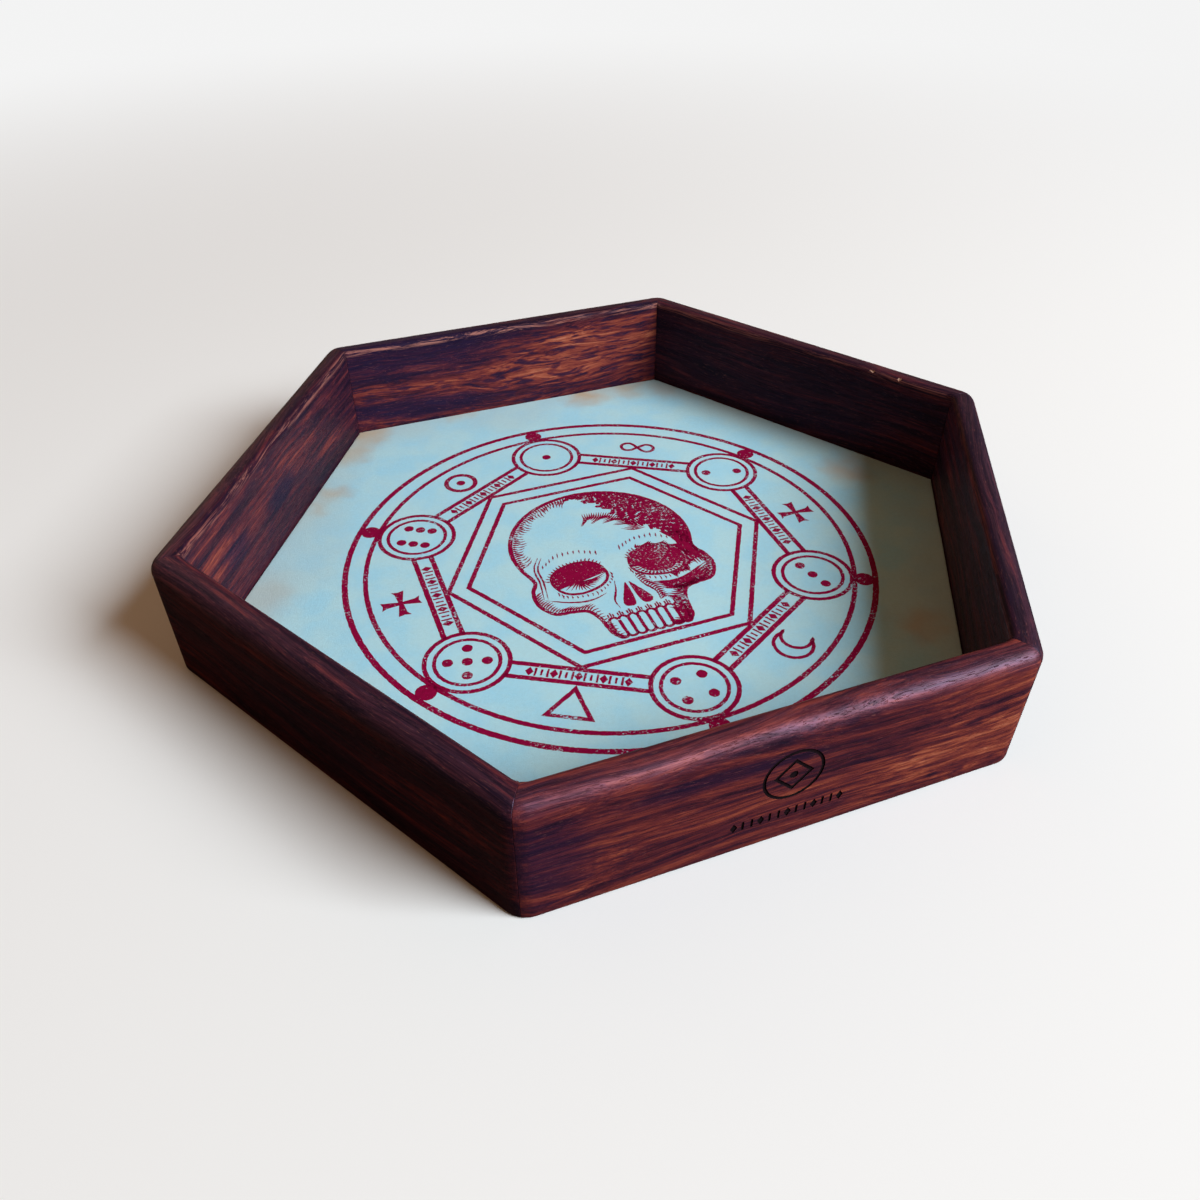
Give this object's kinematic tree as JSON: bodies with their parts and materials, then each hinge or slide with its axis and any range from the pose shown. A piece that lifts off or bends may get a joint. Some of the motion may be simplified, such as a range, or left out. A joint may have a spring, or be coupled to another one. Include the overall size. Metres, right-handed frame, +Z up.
{
  "type": "dice tray",
  "caption": "Rigid hexagonal hardwood tray with rounded rims around a flat printed mat, for rolling dice in.",
  "frame": {"origin": "centre of the footprint, on the plane the tray stands on", "axes": "+Z up; -Y towards the front rail, which the print on the mat is read from; two corners on the X axis"},
  "size_m": [0.2578, 0.2252, 0.037],
  "materials": {
    "rail_wood": "satin",
    "spline_wood": "matte",
    "base_plywood": "matte",
    "mat_cloth": "matte",
    "mat_ink": "matte",
    "burnt_mark": "matte"
  },
  "bodies": {
    "root": {"rail_front": "rail_wood", "rail_front_right": "rail_wood", "rail_back_right": "rail_wood", "rail_back": "rail_wood", "rail_back_left": "rail_wood", "rail_front_left": "rail_wood", "spline_front_right": "spline_wood", "spline_right": "spline_wood", "spline_back_right": "spline_wood", "spline_back_left": "spline_wood", "spline_left": "spline_wood", "spline_front_left": "spline_wood", "base_panel": "base_plywood", "mat": "mat_cloth"}
  },
  "joints": []
}
